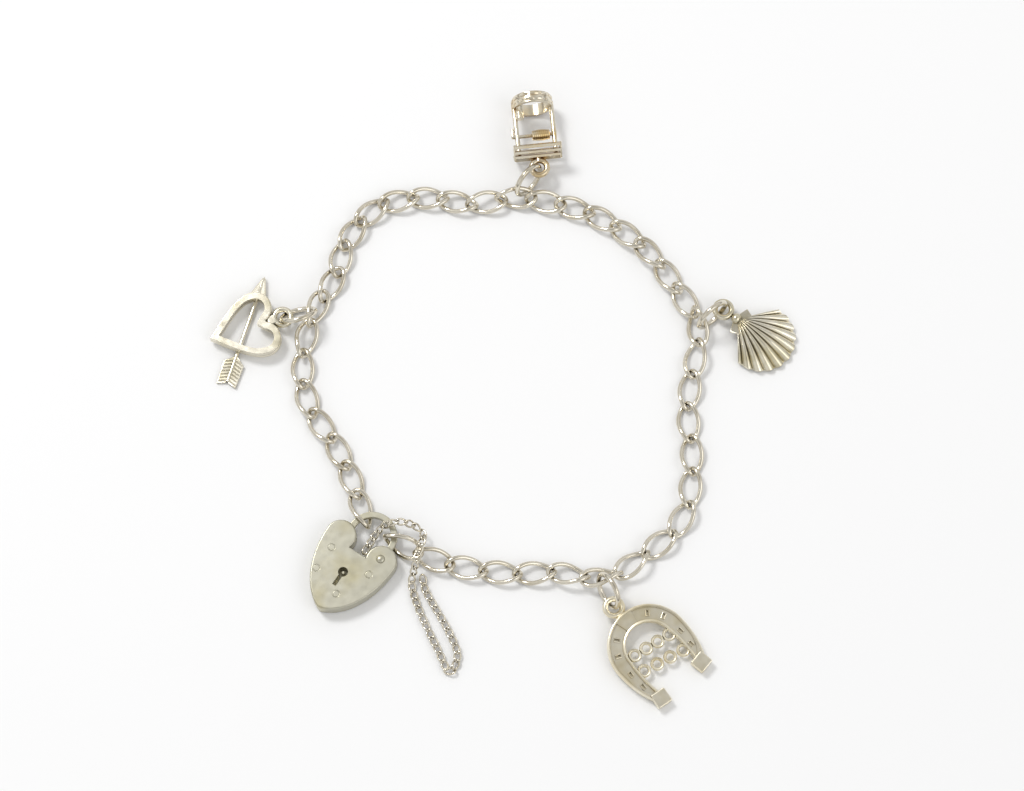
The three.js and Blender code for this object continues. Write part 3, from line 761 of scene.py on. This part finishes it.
@dataclass
class Horseshoe(Charm):
    """A horseshoe with a raised rim, nail holes, square heels and two rows of small rings."""

    top: Point = (-7.6, 6.1, 3.5)
    heel: Point = (-14.1, 4.75, 3.3)
    depth: float = 1.1
    rim: float = 0.42
    rows: tuple[tuple[float, float, float, float], ...] = ((-2.5, -7.1, 1.9, 0.34), (-3.0, -9.6, 2.06, 0.5))
    nails: tuple[float, ...] = (24.0, 52.0, 128.0, 156.0)

    def band(self, inset: float, heel_up: float = 0.0, gap: float = 0.0) -> list[Flat]:
        """Returns the U's edge drawn in by an inset, its ends raised, its top split by a gap in degrees."""
        y, outer, inner = self.top
        low, heel_out, heel_in = self.heel
        low += heel_up
        bend = y - 3
        half = []
        turns = arc((0, y), outer - inset, 0, 90 - gap, 30)
        half += [(heel_in + inset, low), (heel_out - inset, low)]
        half += bezier((heel_out - inset, low), (outer - 0.15 - inset, bend - 1), (outer - inset, bend + 1),
                       (outer - inset, y))
        half += turns
        half += arc((0, y), inner + inset, 90 - gap, 0, 30)
        half += bezier((inner + inset, y), (inner + 0.3 + inset, bend + 1), (inner + 0.3 + inset, bend - 1),
                       (heel_in + inset, low))
        return half

    def whole(self, inset: float) -> list[Flat]:
        """Returns the edge of both halves, drawn in by an inset."""
        right = self.band(inset)
        top = self.top[0] + self.top[1] - inset
        split = min(range(len(right)), key=lambda i: math.dist(right[i], (0, top)))
        outer, inner = right[:split + 1], right[split + 1:]
        mirrored = [(-x, y) for x, y in reversed(outer)], [(-x, y) for x, y in reversed(inner)]
        return outer + mirrored[0] + mirrored[1] + inner

    def nail_holes(self) -> list[list[Flat]]:
        """Returns the edges of the oblong nail holes, round the arch and down both legs."""
        middle = (self.top[1] + self.top[2]) / 2
        centres = [(*arc((0, self.top[0]), middle, turn, turn, 1)[0], turn) for turn in self.nails]
        centres += [(side * x, self.top[0] - drop, side * 4) for side in (1, -1) for x, drop in ((4.8, 1.2), (4.65, 3.6))]
        made = []
        for x, y, turn in centres:
            t = math.radians(turn)
            for_corners = ((0.4, 0.24), (-0.4, 0.24), (-0.4, -0.24), (0.4, -0.24))
            long_way = [(b, a) if abs(turn) < 10 else (a, b) for a, b in for_corners]
            made.append([(x + a * math.cos(t) - b * math.sin(t), y + a * math.sin(t) + b * math.cos(t))
                         for a, b in long_way])
        return made

    def shape(self) -> bpy.types.Mesh:
        """Returns the horseshoe."""
        mesh = plate([self.whole(0)], 0, self.depth, 0.16)
        for side in (1, -1):
            channel = [(side * x, y) for x, y in self.band(self.rim, 1.3, 14)]
            mesh = cut(mesh, plate([channel], self.depth - 0.3, self.depth + 1))
        holes = self.nail_holes()
        for hole in holes:
            mesh = cut(mesh, plate([hole], self.depth - 0.75, self.depth + 1))
        built = Stock()
        built.add(mesh)
        ridge = [(x, y, self.depth - 0.05) for x, y in self.whole(0.2)]
        distinct = [p for p, q in zip(ridge, ridge[1:] + ridge[:1]) if math.dist(p, q) > 0.01]
        built.tube(distinct, 0.19, 10, True)
        for hole in holes:
            built.tube([(x, y, self.depth - 0.25) for x, y in hole], 0.1, 8, True)
        for side in (1, -1):
            built.block((side * 3.9, self.heel[0], 0.75), (2.3, 2.2, 1.5), 0.25, side * 8)
        for x, y, pitch, drop in self.rows:
            for n in range(4):
                built.hoop((x + n * pitch, y - n * drop, 0.62), 0.76, 0.23, 28, 1.5)
        built.hoop((0, 0, self.bail[1]), *self.bail)
        built.ball((0, -1.75, 0.5), (0.9, 0.6, 0.5))
        return built.mesh("horseshoe")


@dataclass
class ScallopShell(Charm):
    """A hollow-backed scallop with rounded ribs, dark grooves and two ears."""

    apex: float = -2.45
    length: float = 9.3
    half_angle: float = 52.0
    ribs: int = 10
    rise: float = 1.7
    crown: float = 0.35
    wall: float = 0.5
    rows: int = 36
    per_rib: int = 12

    def lift(self, out: float, turn: float) -> float:
        """Returns the front's height at a fraction of the way out and an angle's share of the half angle."""
        run = self.crown if out < self.crown else 1 - self.crown
        dome = 1 - ((out - self.crown) / run) ** 2 * (0.45 if out < self.crown else 1)
        rib = abs(math.cos(turn * self.ribs * math.pi / 2)) ** 0.7
        return 0.1 + self.rise * dome * (1 - 0.8 * turn * turn) + 0.4 * (rib - 0.5) * min(1.0, 0.35 + out)

    def fan(self) -> bpy.types.Mesh:
        """Returns the ribbed fan as a closed wall."""
        columns = self.ribs * self.per_rib
        verts, faces = [], []
        for layer in range(2):
            for i in range(self.rows + 1):
                out = 0.04 + 0.96 * i / self.rows
                for j in range(columns + 1):
                    turn = 2 * j / columns - 1
                    angle = math.radians(self.half_angle) * turn
                    scallop = 1 + 0.03 * abs(math.cos(turn * self.ribs * math.pi / 2)) * out
                    r = self.length * math.cos(0.92 * angle) * out * scallop
                    z = max(self.lift(out, turn) - (0 if layer else 0.1), 0.02) + (self.wall if layer else 0)
                    verts.append((r * math.sin(angle), self.apex - r * math.cos(angle), z))
        width = columns + 1
        under = (self.rows + 1) * width
        for i in range(self.rows):
            for j in range(columns):
                a = i * width + j
                faces.append((a, a + 1, a + width + 1, a + width))
                faces.append(tuple(under + k for k in (a, a + width, a + width + 1, a + 1)))
        edge = [j for j in range(columns)] + [self.rows * width + j for j in range(columns)]
        faces += [(k, k + 1, under + k + 1, under + k) for k in edge]
        sides = [i * width for i in range(self.rows)] + [i * width + columns for i in range(self.rows)]
        faces += [(k, k + width, under + k + width, under + k) for k in sides]
        mesh = bpy.data.meshes.new("fan")
        mesh.from_pydata(verts, [], faces)
        return mesh

    def shape(self) -> bpy.types.Mesh:
        """Returns the shell."""
        built = Stock()
        built.add(self.fan())
        ears = [(0, -2.0), (2.2, -2.75), (1.5, -4.6), (-1.5, -4.6), (-2.2, -2.75)]
        built.add(plate([ears], 0.7, 1.15, 0.08))
        built.ball((0, self.apex + 0.1, 1.2), (0.8, 0.75, 0.6))
        built.hoop((0, 0, 0.95), *self.bail)
        return built.mesh("shell")


@dataclass
class WishingWell(Charm):
    """A wishing well on its back: a stone ring, two posts, a windlass with rope, a bucket and a gabled roof."""

    axis: float = 3.15
    base: float = -10.4
    outer: float = 3.15
    inner: float = 2.45
    height: float = 1.7
    roof: float = -3.0
    roof_half: float = 3.4
    windlass: float = -5.2
    stones: int = 11

    def stone_ring(self, built: Stock) -> None:
        """Adds the round wall: a core with two courses of rounded stones outside and a smooth bore."""
        core = cut(plate([arc((0, 0), self.outer - 0.2, 0, 355, 72)], 0, self.height, 0.1),
                   plate([arc((0, 0), self.inner, 0, 355, 72)], -1, self.height + 1))
        lay = Matrix.Translation((0, self.base - self.height / 2, self.axis)) @ Matrix.Rotation(math.radians(-90), 4, "X")
        built.add(core, lay)
        for course in range(2):
            for k in range(self.stones):
                turn = 360 * (k + course / 2) / self.stones
                a, b = math.radians(turn - 14), math.radians(turn + 14)
                path = [(self.outer - 0.33) * np.array((math.cos(t), math.sin(t))) for t in np.linspace(a, b, 6)]
                y = self.base + (course - 0.5) * self.height * 0.48
                built.tube([(p[0], y, self.axis + p[1]) for p in path], [0.2, 0.3, 0.33, 0.33, 0.3, 0.2], 8)

    def shape(self) -> bpy.types.Mesh:
        """Returns the well."""
        built = Stock()
        self.stone_ring(built)
        post = self.outer - 0.35
        z = self.axis
        for side in (-1, 1):
            built.tube([(side * post, self.base, z), (side * (post - 0.05), self.roof + 1.1, z)], 0.36, 14)
        built.tube([(-post, self.windlass, z), (post + 0.7, self.windlass, z)], 0.27, 12)
        for k in range(9):
            x = -1.95 + 0.29 * k
            swell = 0.78 + 0.16 * math.sin(math.pi * k / 8)
            ring = [(x, self.windlass + 0.75 * swell * math.cos(t), z + 0.75 * swell * math.sin(t))
                    for t in np.linspace(0, 2 * math.pi, 24, False)]
            built.tube(ring, 0.17, 8, True)
        built.tube([(post + 0.6, self.windlass + 0.1, z), (post + 0.6, self.windlass - 1.3, z)], 0.22, 12)
        pail = self.base + 1.25
        built.tube([(2.1, pail, z + 0.5), (2.1, pail + 0.2, z + 0.5), (2.1, pail + 1.3, z + 0.5),
                    (2.1, pail + 1.32, z + 0.5)], [0.42, 0.5, 0.63, 0.5], 18)
        self.gable(built)
        built.tube([(0, self.roof + 1.3, z), (0, -0.95, z)], 0.48, 14)
        built.hoop((0, 0, z), 1.15, 0.44)
        return built.mesh("well")

    def gable(self, built: Stock) -> None:
        """Adds the roof: two sloping boards, each with rows of shingles."""
        rise, run = 1.5, 2.1
        slope = math.atan2(rise, run)
        for side in (-1, 1):
            for row in range(3):
                share = (row + 0.5) / 3
                z = self.axis + side * run * (1 - share)
                y = self.roof + rise * share - 0.12 + 0.07 * (row % 2)
                mesh = plate([[(-self.roof_half, -0.42), (self.roof_half, -0.42), (self.roof_half, 0.46),
                               (-self.roof_half, 0.46)]], -0.22, 0.22, 0.07)
                turn = Matrix.Rotation(side * -slope + math.pi / 2 * side, 4, "X")
                built.add(mesh, Matrix.Translation((0, y, z)) @ turn)
        for side in (-1, 1):
            edge = self.roof_half * side
            built.tube([(edge, self.roof + 0.05, self.axis - run), (edge, self.roof + rise, self.axis),
                        (edge, self.roof + 0.05, self.axis + run)], 0.2, 8)


@dataclass
class HeartAndArrow(Charm):
    """An open heart frame with an arrow soldered across its back."""

    lobe: Point = (2.42, -3.5, 2.5)
    tip: float = -11.05
    band: float = 1.0
    low: float = 0.55
    high: float = 2.1
    arrow_tip: Flat = (-7.2, -0.64)
    arrow_end: Flat = (7.2, -10.9)

    def edge(self, inset: float) -> list[Flat]:
        """Returns the heart's edge drawn in by an inset."""
        x, y, r = self.lobe
        r -= inset
        tip = self.tip + inset * 1.35
        right = [(0, tip), *bezier((0, tip), (1.9 - inset * 0.3, tip + 2.0), (x + r, y - 2.2),
                                   (x + r * math.cos(math.radians(10)), y - r * math.sin(math.radians(10))))]
        right += arc((x, y), r, -10, 155, 40)
        cleft = y + math.sqrt(max(0.0, r * r - x * x * 0.9)) - inset * 0.35
        return right + [(0, cleft)] + [(-a, b) for a, b in reversed(right[1:])]

    def arrow(self) -> bpy.types.Mesh:
        """Returns the arrow along +X from its tip, then laid across the heart's back."""
        (tx, ty), (ex, ey) = self.arrow_tip, self.arrow_end
        length = math.hypot(ex - tx, ey - ty)
        made = Stock()
        made.tube([(1.5, 0, 0.42), (length - 0.7, 0, 0.42)], 0.3, 12)
        made.add(plate([[(0, 0), (3.4, 1.25), (2.9, 0.2), (2.9, -0.2), (3.4, -1.25)]], 0.05, 0.62, 0.1))
        made.tube([(0.3, 0, 0.55), (3.2, 0, 0.5)], [0.12, 0.3], 8)
        for side in (-1, 1):
            made.tube([(0.35, side * 0.1, 0.45), (3.25, side * 1.12, 0.45)], 0.17, 8)
            vane = [(length - 4.7, side * 0.2), (length - 3.6, side * 1.55), (length, side * 1.45),
                    (length - 0.5, side * 0.1)]
            made.add(plate([vane], 0.08, 0.55, 0.08))
            for k in range(7):
                x = length - 4.0 + 0.52 * k
                made.tube([(x, side * 0.15, 0.52), (x + 0.45, side * 1.32, 0.5)], 0.12, 6)
        turn = math.atan2(ey - ty, ex - tx)
        mesh = made.mesh("arrow")
        mesh.transform(Matrix.Translation((tx, ty, 0)) @ Matrix.Rotation(turn, 4, "Z"))
        return mesh

    def shape(self) -> bpy.types.Mesh:
        """Returns the heart, its arrow and its bail."""
        built = Stock()
        middle = (self.low + self.high) / 2
        for low, high in ((self.low, middle - 0.07), (middle + 0.07, self.high)):
            built.add(cut(plate([self.edge(0)], low, high, 0.14), plate([self.edge(self.band)], low - 1, high + 1)))
        built.add(cut(plate([self.edge(0.12)], middle - 0.2, middle + 0.2),
                      plate([self.edge(self.band - 0.1)], middle - 1, middle + 1)))
        built.add(self.arrow())
        built.block((0, -1.6, 1.3), (1.4, 1.3, 0.9), 0.2)
        built.hoop((0, 0, 1.3), *self.bail)
        return built.mesh("heart")


def charms() -> list[Charm]:
    """Returns the four charms in their order round the chain."""
    return [
        Horseshoe("horseshoe", -47.7, -62, 74, 0.42, 1.62, 15.2, WORN_SHOE),
        ScallopShell("shell", -37, 40, 86, 0.95, 1.62, 11.7),
        WishingWell("well", 96, 48, 80, 3.15, 3.15, 11.0, WORN_GILT, Slot.GILT),
        HeartAndArrow("heart", 198, 196, 55, 1.3, 1.62, 11.0),
    ]


@dataclass
class Studio:
    """A pale floor, soft lights and the camera."""

    elevation: float = 72.0
    distance: float = 0.45
    lens: float = 108.4
    aim: Point = (0.0014, 0.0004, 0.0)

    def floor(self) -> None:
        """Lays the floor."""
        mesh = bpy.data.meshes.new("floor")
        half = 1.5
        mesh.from_pydata([(-half, -half, 0), (half, -half, 0), (half, half, 0), (-half, half, 0)], [], [(0, 1, 2, 3)])
        paint = bpy.data.materials.new("pale_floor")
        paint.use_nodes = True
        shader = paint.node_tree.nodes["Principled BSDF"]
        shader.inputs["Base Color"].default_value = (0.9, 0.9, 0.9, 1)
        shader.inputs["Roughness"].default_value = 0.7
        mesh.materials.append(paint)
        floor = bpy.data.objects.new("floor", mesh)
        bpy.context.scene.collection.objects.link(floor)

    def lamp(self, name: str, at: Point, size: float, power: float) -> None:
        """Hangs a soft square light that faces the bracelet.

        Args:
            name: Its name.
            at: Where it hangs.
            size: Its side.
            power: Its strength in watts.
        """
        light = bpy.data.lights.new(name, "AREA")
        light.size = size
        light.energy = power
        lamp = bpy.data.objects.new(name, light)
        lamp.location = at
        lamp.rotation_euler = (-Vector(at)).to_track_quat("-Z", "Y").to_euler()
        bpy.context.scene.collection.objects.link(lamp)

    def sky(self) -> None:
        """Surrounds the scene with a pale room that darkens towards the horizon."""
        world = bpy.data.worlds.new("room")
        world.use_nodes = True
        nodes, links = world.node_tree.nodes, world.node_tree.links
        place = nodes.new("ShaderNodeTexCoord")
        split = nodes.new("ShaderNodeSeparateXYZ")
        ramp = nodes.new("ShaderNodeValToRGB")
        stops = ((0.0, 0.10), (0.3, 1.0), (0.72, 1.0), (0.9, 0.68), (1.0, 0.5))
        for _ in range(len(stops) - 2):
            ramp.color_ramp.elements.new(0.5)
        for element, (position, level) in zip(ramp.color_ramp.elements, stops):
            element.position = position
            element.color = (level, level, level, 1)
        links.new(place.outputs["Generated"], split.inputs[0])
        links.new(split.outputs["Z"], ramp.inputs["Fac"])
        links.new(ramp.outputs["Color"], nodes["Background"].inputs["Color"])
        nodes["Background"].inputs["Strength"].default_value = 0.80
        bpy.context.scene.world = world

    def camera(self) -> None:
        """Sets the camera up."""
        lens = bpy.data.cameras.new("camera")
        lens.lens = self.lens
        lens.sensor_width = 36.0
        lens.clip_start = 0.01
        camera = bpy.data.objects.new("camera", lens)
        tilt = math.radians(self.elevation)
        back = Vector((0, -math.cos(tilt), math.sin(tilt)))
        camera.location = Vector(self.aim) + back * self.distance
        camera.rotation_euler = Euler((math.radians(90) - tilt, 0, 0))
        bpy.context.scene.collection.objects.link(camera)
        bpy.context.scene.camera = camera

    def build(self) -> None:
        """Builds all of it."""
        self.camera()
        self.floor()
        self.sky()
        self.lamp("key", (-0.35, 0.35, 0.7), 0.22, 3.0)
        self.lamp("fill", (0.5, -0.3, 0.6), 0.5, 0.8)


def main() -> None:
    """Builds the bracelet's looks, piece by piece."""
    logging.basicConfig(level=logging.INFO)
    bpy.context.scene.view_settings.view_transform = "Standard"
    Studio().build()
    links = [f"link_{n:02d}" for n in range(1, 41)]
    CurbChain().build("curb_links", links, WIRE_SILVER, 56, "chain_links")
    pieces = charms()
    rings = [f"jump_ring_{charm.name}" for charm in pieces]
    CurbChain(2.5, 2.5, 0.38, 0.0).build("jump_rings", rings, WIRE_SILVER, 56, "jump_rings")
    lock = Padlock()
    lock.build()
    SafetyChain().build(lock.where)
    for charm in pieces:
        charm.build()


if __name__ == "__main__":
    main()
